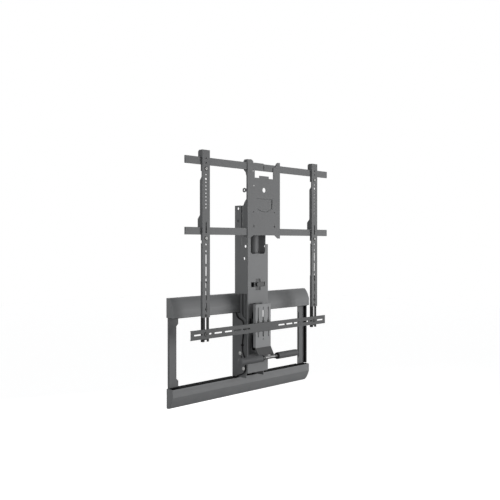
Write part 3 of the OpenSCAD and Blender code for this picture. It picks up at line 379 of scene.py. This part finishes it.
def turned(work, profile, place=Matrix(), segments=48, ring=False):
    """A body turned round its own Z from (radius, height) points. A third value makes that ring a hexagon
    with the radius to its flats."""
    loops = []
    for radius, height, *six in profile:
        if radius < WELD:
            loops.append([work.verts.new(place @ Vector((0, 0, height)))])
            continue
        loop = []
        for k in range(segments):
            angle = 2 * math.pi * k / segments
            from_flat = (angle + math.pi / 6) % (math.pi / 3) - math.pi / 6
            reach = radius / math.cos(from_flat) if six else radius
            point = Vector((reach * math.cos(angle), reach * math.sin(angle), height))
            loop.append(work.verts.new(place @ point))
        loops.append(loop)
    bridge(work, loops, closed_row=ring)


def facing(point, direction):
    """A placement with its Z along a direction."""
    turn = Vector(direction).to_track_quat("Z", "Y")
    return Matrix.Translation(point) @ turn.to_matrix().to_4x4()


def extruded(work, outlines):
    """A closed body through (x, [(y, z), ...]) outlines that all have the same number of points."""
    bridge(work, [[work.verts.new((x, y, z)) for y, z in outline] for x, outline in outlines], caps=True)


# Geometry node trees

def new_group(name, inputs):
    """A geometry node tree with named inputs and one geometry output."""
    tree = bpy.data.node_groups.new(name, "GeometryNodeTree")
    for label, kind in inputs:
        tree.interface.new_socket(name=label, in_out="INPUT", socket_type=kind)
    tree.interface.new_socket(name="Geometry", in_out="OUTPUT", socket_type="NodeSocketGeometry")
    return tree, shader_node(tree, "NodeGroupInput"), shader_node(tree, "NodeGroupOutput")


def close_group(tree, given, result, geometry):
    """Ends a tree with real geometry in one finish."""
    real = shader_node(tree, "GeometryNodeRealizeInstances", links={"Geometry": geometry})
    coated = shader_node(tree, "GeometryNodeSetMaterial",
                         links={"Geometry": real.outputs["Geometry"], "Material": given.outputs["Finish"]})
    tree.links.new(coated.outputs["Geometry"], result.inputs["Geometry"])
    return tree


def repeat_tree():
    """Puts a pattern at every place, with its Z along the direction of that place."""
    tree, given, result = new_group("Repeat at places", (
        ("Places", "NodeSocketGeometry"), ("Pattern", "NodeSocketObject"), ("Finish", "NodeSocketMaterial")))
    pattern = shader_node(tree, "GeometryNodeObjectInfo", links={"Object": given.outputs["Pattern"]})
    way = shader_node(tree, "GeometryNodeInputNamedAttribute",
                      {"data_type": "FLOAT_VECTOR", "Name": "direction"})
    turn = shader_node(tree, "FunctionNodeAlignRotationToVector", {"axis": "Z"},
                       {"Vector": way.outputs["Attribute"]})
    put = shader_node(tree, "GeometryNodeInstanceOnPoints", links={
        "Points": given.outputs["Places"], "Instance": pattern.outputs["Geometry"],
        "Rotation": turn.outputs["Rotation"]})
    return close_group(tree, given, result, put.outputs["Instances"])


def tube_tree():
    """A round tube with closed ends along a chain of points, smoothed between them."""
    tree, given, result = new_group("Tube on a path", (
        ("Path", "NodeSocketGeometry"), ("Radius", "NodeSocketFloat"), ("Step", "NodeSocketFloat"),
        ("Finish", "NodeSocketMaterial")))
    line = shader_node(tree, "GeometryNodeMeshToCurve", links={"Mesh": given.outputs["Path"]})
    spline = shader_node(tree, "GeometryNodeCurveSplineType", {"spline_type": "CATMULL_ROM"},
                         {"Curve": line.outputs["Curve"]})
    fine = shader_node(tree, "GeometryNodeResampleCurve", {"mode": "LENGTH"},
                       {"Curve": spline.outputs["Curve"], "Length": given.outputs["Step"]})
    across = shader_node(tree, "GeometryNodeCurvePrimitiveCircle", {"Resolution": 32},
                         {"Radius": given.outputs["Radius"]})
    tube = shader_node(tree, "GeometryNodeCurveToMesh", {"Fill Caps": True},
                       {"Curve": fine.outputs["Curve"], "Profile Curve": across.outputs["Curve"]})
    return close_group(tree, given, result, tube.outputs["Mesh"])


def grown(tree, mesh, values):
    """A function that fills a bmesh with what a tree makes from a mesh and the values of its inputs."""
    holder = bpy.data.objects.new("Holder", mesh)
    bpy.context.scene.collection.objects.link(holder)
    modifier = holder.modifiers.new("Shape", "NODES")
    modifier.node_group = tree
    for item in tree.interface.items_tree:
        if item.in_out == "INPUT" and item.name in values:
            modifier[item.identifier] = values[item.name]
    graph = bpy.context.evaluated_depsgraph_get()
    shape = bpy.data.meshes.new_from_object(holder.evaluated_get(graph))
    holder.modifiers.clear()
    bpy.data.objects.remove(holder)
    if not shape.polygons:
        raise RuntimeError(f"{tree.name} made no faces")
    return lambda work: work.from_mesh(shape)


def repeated(pattern_fill, places, finish):
    """A function that fills a bmesh with a pattern at every (point, direction)."""
    pattern = bpy.data.objects.new("Pattern", mesh_of("Pattern", pattern_fill))
    mesh = bpy.data.meshes.new("Places")
    mesh.from_pydata([point for point, _ in places], [], [])
    ways = mesh.attributes.new("direction", "FLOAT_VECTOR", "POINT")
    for item, (_, way) in zip(ways.data, places):
        item.vector = way
    fill = grown(repeat_tree(), mesh, {"Pattern": pattern, "Finish": MATERIALS[finish]})
    bpy.data.objects.remove(pattern)
    return fill


# Stage

class MOUNT_OT_stage(bpy.types.Operator):
    """Sets up the camera, the lamps, the floor and the pale background"""
    bl_idname = "mount.stage"
    bl_label = "Stage"

    def execute(self, context):
        scene = context.scene
        scene.view_settings.view_transform = "Standard"

        # The camera stands left of the mount, a little above its middle, and looks almost level
        lens_px, frame_px, sensor = 669.0, 500, 36.0
        camera = bpy.data.cameras.new("Camera")
        camera.sensor_width = sensor
        camera.lens = lens_px / frame_px * sensor
        camera.clip_end = 100
        shot = bpy.data.objects.new("Camera", camera)
        look_down, look_right = 0.587, 44.979
        shot.location = (-2.1758, -2.2340, 0.4634)
        shot.rotation_euler = (math.radians(90 - look_down), 0, math.radians(-look_right))
        scene.collection.objects.link(shot)
        scene.camera = shot

        # The room lights the mount from the front at its own height, so faces that look up stay darker
        lamps = (
            ("Key", (2.6, -3.6, 0.35), 2.6, 97.0),
            ("Fill", (-4.4, -0.9, 0.3), 3.0, 52.0),
            ("Back", (1.5, 3.8, 0.6), 3.0, 60.0),
            ("Side", (4.2, 0.6, 0.3), 2.4, 14.0),
        )
        target = Vector((0, -0.08, 0.3))
        for name, place, size, power in lamps:
            light = bpy.data.lights.new(name, "AREA")
            light.size = size
            light.energy = power
            lamp = bpy.data.objects.new(name, light)
            lamp.location = place
            lamp.rotation_euler = (target - Vector(place)).to_track_quat("-Z", "Y").to_euler()
            scene.collection.objects.link(lamp)

        world = bpy.data.worlds.new("Pale room")
        scene.world = world
        world.use_nodes = True
        tree = world.node_tree
        tree.nodes.clear()
        seen = shader_node(tree, "ShaderNodeLightPath")
        first = shader_node(tree, "ShaderNodeMath", {"operation": "MAXIMUM"},
                            {0: seen.outputs["Is Camera Ray"], 1: seen.outputs["Is Transmission Ray"]})
        either = shader_node(tree, "ShaderNodeMath", {"operation": "MAXIMUM"},
                             {0: first.outputs[0], 1: seen.outputs["Is Glossy Ray"]})
        lit = shader_node(tree, "ShaderNodeBackground", {"Color": linear("#EEF0F2"), "Strength": 0.22})
        shown = shader_node(tree, "ShaderNodeBackground", {"Color": linear("#FFFFFF"), "Strength": 1.0})
        mix = shader_node(tree, "ShaderNodeMixShader", links={
            0: either.outputs[0], 1: lit.outputs[0], 2: shown.outputs[0]})
        shader_node(tree, "ShaderNodeOutputWorld", links={"Surface": mix.outputs[0]})

        material, floor_tree, shader = new_material("Pale floor")
        shader.inputs["Base Color"].default_value = linear("#B0B0B0")
        shader.inputs["Roughness"].default_value = 0.9
        mesh = bpy.data.meshes.new("Floor")
        reach, level = 14.0, -1.1
        mesh.from_pydata([(-reach, -reach, level), (reach, -reach, level), (reach, reach, level),
                          (-reach, reach, level)], [], [(0, 1, 2, 3)])
        mesh.materials.append(material)
        floor = bpy.data.objects.new("Floor", mesh)
        scene.collection.objects.link(floor)
        seen = shader_node(floor_tree, "ShaderNodeLightPath")
        glow = shader_node(floor_tree, "ShaderNodeEmission", {"Color": linear("#FFFFFF"), "Strength": 0.85})
        blend = shader_node(floor_tree, "ShaderNodeMixShader", links={
            0: seen.outputs["Is Camera Ray"], 1: shader.outputs["BSDF"]})
        both = shader_node(floor_tree, "ShaderNodeAddShader", links={
            0: shader.outputs["BSDF"], 1: glow.outputs["Emission"]})
        floor_tree.links.new(both.outputs[0], blend.inputs[2])
        output = next(n for n in floor_tree.nodes if n.type == "OUTPUT_MATERIAL")
        floor_tree.links.new(blend.outputs[0], output.inputs["Surface"])
        return {"FINISHED"}


# Finishes of the nodes that keep their own shape

FINISHES = {
    "mast": "mast",
    "head": "head_plate",
    "brackets": "left_screen_bracket right_screen_bracket",
    "rails": "upper_rail lower_rail rail_clamps frame_top_rail frame_bottom_rail left_upright right_upright",
    # The adjuster plate and tension adjuster take the dark bar coat as painted shade of their recess behind
    # the cross cut-out
    "bar": "speaker_bar adjuster_plate tension_adjuster",
    "arm": "pivot_bracket front_link rear_link knuckle swivel_brackets head_carrier",
    # Painted shade: the slide inside the mast takes the near-black inner coat for the shade there
    "inner": "handle_slide",
    "handle": "handle_bracket",
    "covers": "top_cover bottom_cover",
    "grips": "left_grip right_grip",
    "plastic": "cable_channel cable_clips front_link_bushes rear_link_bushes swivel_bush swivel_washer"
               " grip_collars",
    "jacket": "service_cable",
    "black_coat": "gas_spring_cylinders left_extension right_extension",
    "zinc": "lower_pivot_pins",
    "dull_zinc": "spring_link_pin upper_pivot_pins swivel_post swivel_nut carrier_bolts clamp_bolts",
    "steel": "handle_rod gas_spring_rods",
    "dark_steel": "handle_bolts head_plate_bolts bar_bolts extension_bolts spring_anchor_pin",
}


class MOUNT_OT_finishes(bpy.types.Operator):
    """Makes the finishes and gives every node its own"""
    bl_idname = "mount.finishes"
    bl_label = "Finishes"

    def execute(self, context):
        make_materials(context.scene.mount_colours, context.scene.mount_sizes.edge)
        for finish, names in FINISHES.items():
            for name in names.split():
                paint(NODES[name], finish)
        return {"FINISHED"}


# Covers

COVER_T = 2.2 * MM
CREASE_DROP = 50 * MM  # from the top edge of a cover to its crease
GROOVE = 1.2 * MM  # width of the fine groove
GROOVE_RISE = 11 * MM  # from the lip to the groove
END_ROUND = 1.8 * MM  # radius of the edges of the end walls


def cover_path(inset, lip):
    """The skin of the upper cover as (y, z) points, from its top edge at the wall to its lip. Only the outer
    skin, with no inset, has the groove."""
    depth, top = -low("top_cover").y, high("top_cover").z - inset
    start = Vector((low("frame_top_rail").y, top))
    pull = Vector((0.8 * inset - 31 * MM, top - 12 * MM))  # the curve bends towards this point
    end = Vector((inset - depth, high("top_cover").z - CREASE_DROP))
    steps = 40
    shares = [step / steps for step in range(steps + 1)]
    curve = [start.lerp(pull, share).lerp(pull.lerp(end, share), share) for share in shares]
    groove = []
    if inset == 0:
        middle = lip + GROOVE_RISE + GROOVE / 2
        groove = [Vector((sink - depth, middle + up * GROOVE)) for sink, up in (
            (0, 0.5), (GROOVE / 2, 0.25), (GROOVE / 2, -0.25), (0, -0.5))]
    return [Vector((0, top)), *curve, *groove, Vector((inset - depth, lip))]


def cover(work, sign):
    """A long shell with a crease, a groove over its lip, rounded end walls and four ribs. A sign of -1 turns
    it upside down."""
    lip, half = low("top_cover").z, high("top_cover").x
    skin = cover_path(0, lip) + cover_path(COVER_T, lip)[::-1]
    span, count = half - COVER_T - APART, 30
    extruded(work, [(span * (2 * k / count - 1), skin) for k in range(count + 1)])
    steps = 8
    for side in (-1, 1):
        walls = []
        for k in range(steps + 1):
            angle = math.pi / 2 * k / steps
            inset = max(END_ROUND * (1 - math.sin(angle)), WELD)
            walls.append((half - END_ROUND * (1 - math.cos(angle)), inset))
        walls.append((half - COVER_T, WELD))
        extruded(work, [(side * x, cover_path(inset, lip + inset) + [Vector((0, lip + inset))])
                        for x, inset in walls])
    rail_top, rail_low = high("frame_top_rail").z, low("frame_top_rail").z
    rear = low("frame_top_rail").y - 0.3 * MM
    inner = [point for point in cover_path(COVER_T, lip) if rail_low <= point.y <= rail_top]
    rib = [Vector((rear, rail_top)), *inner, Vector((inner[-1].x, rail_low)), Vector((rear, rail_low))]
    half_rib = 1.5 * MM
    for x in (half / 3, half - 5 * COVER_T):
        for side in (-1, 1):
            extruded(work, [(side * x + turn * half_rib, rib) for turn in (-1, 1)])
    for vertex in work.verts:
        vertex.co.z *= sign


def shade_seal(work, sign, height):
    """A near-black bristle strip in the opening between a cover's lip and the wall, open round the cable.
    It is painted shade: it stands for the shade in that opening.
    """
    lip, cable, gap = low("top_cover").z, centre("service_cable").x, 3.6 * MM
    reach = -low("top_cover").y - 2.5 * MM
    half = high("top_cover").x - 9 * MM
    inner = low("right_upright").x - 2 * MM
    before_upright, at_wall = MM - low("right_upright").y, 0.5 * MM
    parts = (
        (-half, -inner, before_upright), (-inner, cable - gap, at_wall), (cable + gap, inner, at_wall),
        (inner, half, before_upright))
    bevel = 0.5 * MM
    foot = lip + bevel
    tip = foot - height
    for x0, x1, rear in parts:
        section = [(-reach, tip + bevel), (bevel - reach, tip), (-rear, tip), (-rear, foot), (-reach, foot)]
        extruded(work, [(x, [(y, sign * z) for y, z in section]) for x in (x0 + APART, x1 - APART)])


class MOUNT_OT_covers(bpy.types.Operator):
    """Lays the skins of the two covers over the wall frame, with a black bristle strip along each lip,
    painted shade of the opening behind it
    """
    bl_idname = "mount.covers"
    bl_label = "Covers"

    def execute(self, context):
        brush = context.scene.mount_sizes.brush
        for name, sign in (("top", 1), ("bottom", -1)):
            new_piece(f"{name}_cover_skin", lambda work: cover(work, sign), "covers", "wall_base",
                      (f"{name}_cover",))
            new_piece(f"{name}_cover_seal", lambda work: shade_seal(work, sign, brush), "brush", "wall_base")
        return {"FINISHED"}


# Fasteners

# Node: body, finish, slot, whether it faces the room, then in millimetres its head's diameter and height,
# its socket, its shank, its nut's or clip's diameter and thickness and its tail, and whether the nut is a
# hexagon
BOLTS = {
    "handle_bolts": ("screen_unit", "dark_steel", "dark_steel", True, 11, 2.3, 5, 6, 10, 4.5, 0.5, True),
    "bar_bolts": ("speaker_carriage", "dark_steel", "dark_steel", True, 18, 2.5, 8, 8, 13, 4, 0, True),
    "clamp_bolts": ("screen_unit", "dull_zinc", "zinc_steel", True, 13, 2.5, 6, 8, 14, 5, 1, True),
    "extension_bolts": ("screen_unit", "dark_steel", "zinc_steel", True, 11, 2.5, 5, 6, 13, 5.7, 2, True),
    "carrier_bolts": ("screen_unit", "dull_zinc", "zinc_steel", False, 11, 4, 5, 6, 11, 5, 1, True),
    "lower_pivot_pins": ("wall_base", "zinc", "zinc_steel", False, 16, 3.5, 6, 10, 14, 2, 0, False),
}


def bolt(work, length, head_d, head_h, socket, shank_d, nut_d, nut_t, tail, six):
    """A bolt with the top of its head at the origin, a hex socket, and a nut or clip before its tail."""
    head, shank, nut = head_d / 2, shank_d / 2, nut_d / 2
    flag, broken = (), 0.4 * MM
    if six:
        nut *= math.cos(math.pi / 6)
        flag = (True,)
    end, edge, floor = tail - length, 0.3 * head_h, -0.7 * head_h
    if tail:
        profile = [(0, -length), (shank - broken, -length), (shank, broken - length), (shank, end)]
    else:
        profile = [(0, -length)]
    profile += [
        (nut - broken, end, *flag), (nut, end + broken, *flag), (nut, end + nut_t - broken, *flag),
        (nut - broken, end + nut_t, *flag), (shank, end + nut_t), (shank, -head_h), (head, -head_h),
        (head, -edge), (head - 0.3 * edge, -0.3 * edge), (head - edge, 0), (socket / 2, 0, True),
        (socket / 2, floor, True), (0, floor)]
    turned(work, profile)


class MOUNT_OT_fasteners(bpy.types.Operator):
    """Puts socket bolts with nuts or clips in place of the plain ones, and rings round the clamp bolts"""
    bl_idname = "mount.fasteners"
    bl_label = "Fasteners"

    def execute(self, context):
        for node, (body, finish, slot, to_room, *sizes, six) in BOLTS.items():
            places, length = [], 0
            for lowest, highest in solids(node):
                middle = (lowest + highest) / 2
                if to_room:
                    places.append(((middle.x, lowest.y, middle.z), TO_ROOM))
                    length = highest.y - lowest.y
                else:
                    side = math.copysign(1, middle.x)
                    places.append(((max(highest.x, -lowest.x) * side, middle.y, middle.z), (side, 0, 0)))
                    length = highest.x - lowest.x
            measures = [size * MM for size in sizes]
            fill = repeated(lambda work: bolt(work, length, *measures, six), places, finish)
            new_piece(f"socket_{node}", fill, finish, body, (node,))
        face = low("left_screen_bracket").y
        rings = [(((lowest.x + highest.x) / 2, face, (lowest.z + highest.z) / 2), TO_ROOM)
                 for lowest, highest in solids("clamp_bolts")]
        inner, outer, thick, bevel = 6.9 * MM, 8.6 * MM, 1 * MM, 0.3 * MM
        profile = [(inner, 0), (outer, 0), (outer, thick - bevel), (outer - bevel, thick),
                   (inner + bevel, thick), (inner, thick - bevel)]
        fill = repeated(lambda work: turned(work, profile, ring=True), rings, "plastic")
        new_piece("clamp_rings", fill, "plastic", "screen_unit")
        return {"FINISHED"}


# Handle

GRIP_SIDES = 64


class MOUNT_OT_handle(bpy.types.Operator):
    """Turns the two foam grips with their fine rings and rounded ends, and the two collars"""
    bl_idname = "mount.handle"
    bl_label = "Handle grips"

    def execute(self, context):
        sizes = context.scene.mount_sizes
        bore = (high("handle_rod").z - low("handle_rod").z) / 2
        for name, side in (("left", -1), ("right", 1)):
            lowest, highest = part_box(f"{name}_grip")
            length, radius = highest.x - lowest.x, (highest.z - lowest.z) / 2
            core, end_r, steps = radius - sizes.rib_depth, 7 * MM, 8
            middle = (lowest + highest) / 2
            root = Vector((lowest.x if side > 0 else highest.x, middle.y, middle.z))
            outward = (side, 0, 0)
            place = facing(root, outward)
            floor = high("handle_rod").x - abs(root.x)
            angles = [math.pi / 2 * k / steps for k in range(steps + 1)]
            arc = [(core - end_r * (1 - math.cos(angle)), length - end_r * (1 - math.sin(angle)))
                   for angle in angles]
            profile = [(0, floor), (bore, floor), (bore, 0), (core - MM, 0), (core, MM), *arc, (0, length)]
            new_piece(f"{name}_foam_grip", lambda work: turned(work, profile, place, GRIP_SIDES), "grips",
                      "handle", (f"{name}_grip",))
            count = int((length - 2 * end_r) / sizes.rib_pitch)
            rib, sunk, shoulder = 0.3 * sizes.rib_pitch, core - 0.3 * MM, core + 0.6 * sizes.rib_depth
            shape = [(sunk, -rib), (shoulder, -0.7 * rib), (radius, 0), (shoulder, 0.7 * rib), (sunk, rib)]
            steps_out = [side * (end_r / 2 + sizes.rib_pitch * (k + 0.5)) for k in range(count)]
            places = [(root + Vector((step, 0, 0)), outward) for step in steps_out]
            fill = repeated(lambda work: turned(work, shape, segments=GRIP_SIDES, ring=True), places, "grips")
            new_piece(f"{name}_grip_rings", fill, "grips", "handle")
        outer, width, groove = 15 * MM, 4 * MM, 0.4 * MM
        start, axis = low("right_grip").x - width, centre("left_grip")
        collars = [((side * start, axis.y, axis.z), (side, 0, 0)) for side in (-1, 1)]
        shape = [(bore, 0), (outer - 2 * MM, 0), (outer, MM), (outer, 1.8 * MM), (outer - groove, 2.1 * MM),
                 (outer - groove, 2.5 * MM), (outer, 2.8 * MM), (outer, width), (bore, width)]
        fill = repeated(lambda work: turned(work, shape, segments=GRIP_SIDES, ring=True), collars, "plastic")
        new_piece("turned_collars", fill, "plastic", "handle", ("grip_collars",))
        return {"FINISHED"}


# Cable and welds

# The route of the service cable in Y and Z, in millimetres, from the upper cover to the lower one
CABLE_ROUTE = (
    (-30, 172), (-30, 150), (-33, 135), (-42, 124), (-55, 118), (-68, 112), (-76, 101), (-76, 80),
    (-75, 50), (-71, 25), (-69, 0), (-70, -24), (-77, -42), (-84, -56), (-88, -72), (-89, -92),
    (-88, -108), (-80, -122), (-62, -132), (-44, -138), (-32, -146), (-28, -160), (-28, -172),
)


class MOUNT_OT_cable(bpy.types.Operator):
    """Draws the round service cable that runs down the left cheek between the two covers"""
    bl_idname = "mount.cable"
    bl_label = "Service cable"

    def execute(self, context):
        lowest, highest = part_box("service_cable")
        radius, step = (highest.x - lowest.x) / 2, 2.5 * MM
        mesh = bpy.data.meshes.new("Route")
        points = [(centre("service_cable").x, y * MM, z * MM) for y, z in CABLE_ROUTE]
        mesh.from_pydata(points, [(k, k + 1) for k in range(len(points) - 1)], [])
        values = {"Radius": radius, "Step": step, "Finish": MATERIALS["jacket"]}
        fill = grown(tube_tree(), mesh, values)
        new_piece("round_service_cable", fill, "jacket", "wall_base", ("service_cable",))
        return {"FINISHED"}


class MOUNT_OT_welds(bpy.types.Operator):
    """Runs a weld bead round the foot of the swivel tube"""
    bl_idname = "mount.welds"
    bl_label = "Weld beads"

    def execute(self, context):
        tube_r, deck_t, count, lean = 28 * MM, 8 * MM, 56, 0.35
        foot = centre("swivel_post")
        foot.z = low("swivel_post").z + deck_t
        places = []
        for k in range(count):
            angle = 2 * math.pi * k / count
            reach = Vector((math.cos(angle), math.sin(angle), 0))
            places.append((foot + tube_r * reach, Vector((-reach.y, reach.x, lean))))
        bead, steps = context.scene.mount_sizes.bead, 6
        angles = [math.pi * k / steps for k in range(steps + 1)]
        profile = [(bead * math.sin(angle), -0.8 * bead * math.cos(angle)) for angle in angles]
        fill = repeated(lambda work: turned(work, profile, segments=12), places, "arm")
        new_piece("swivel_tube_weld", fill, "arm", "knuckle")
        return {"FINISHED"}


class MOUNT_PT_panel(bpy.types.Panel):
    """Lists the steps, colours and sizes of the mount"""
    bl_idname = "MOUNT_PT_panel"
    bl_label = "Wall Mount"
    bl_space_type = "VIEW_3D"
    bl_region_type = "UI"
    bl_category = "Wall Mount"

    def draw(self, context):
        for step in STEPS:
            self.layout.operator(step.bl_idname)
        for group in (context.scene.mount_colours, context.scene.mount_sizes):
            for name in group.bl_rna.properties.keys():
                if name not in ("rna_type", "name"):
                    self.layout.prop(group, name)


STEPS = (MOUNT_OT_stage, MOUNT_OT_finishes, MOUNT_OT_covers, MOUNT_OT_fasteners, MOUNT_OT_handle,
         MOUNT_OT_cable, MOUNT_OT_welds)
CLASSES = (MountColours, MountSizes, *STEPS, MOUNT_PT_panel)


def register():
    for kind in CLASSES:
        bpy.utils.register_class(kind)
    bpy.types.Scene.mount_colours = bpy.props.PointerProperty(type=MountColours)
    bpy.types.Scene.mount_sizes = bpy.props.PointerProperty(type=MountSizes)


def unregister():
    del bpy.types.Scene.mount_sizes
    del bpy.types.Scene.mount_colours
    for kind in reversed(CLASSES):
        bpy.utils.unregister_class(kind)


def main():
    register()
    for step in STEPS:
        group, name = step.bl_idname.split(".")
        getattr(getattr(bpy.ops, group), name)()


if __name__ == "__main__":
    main()
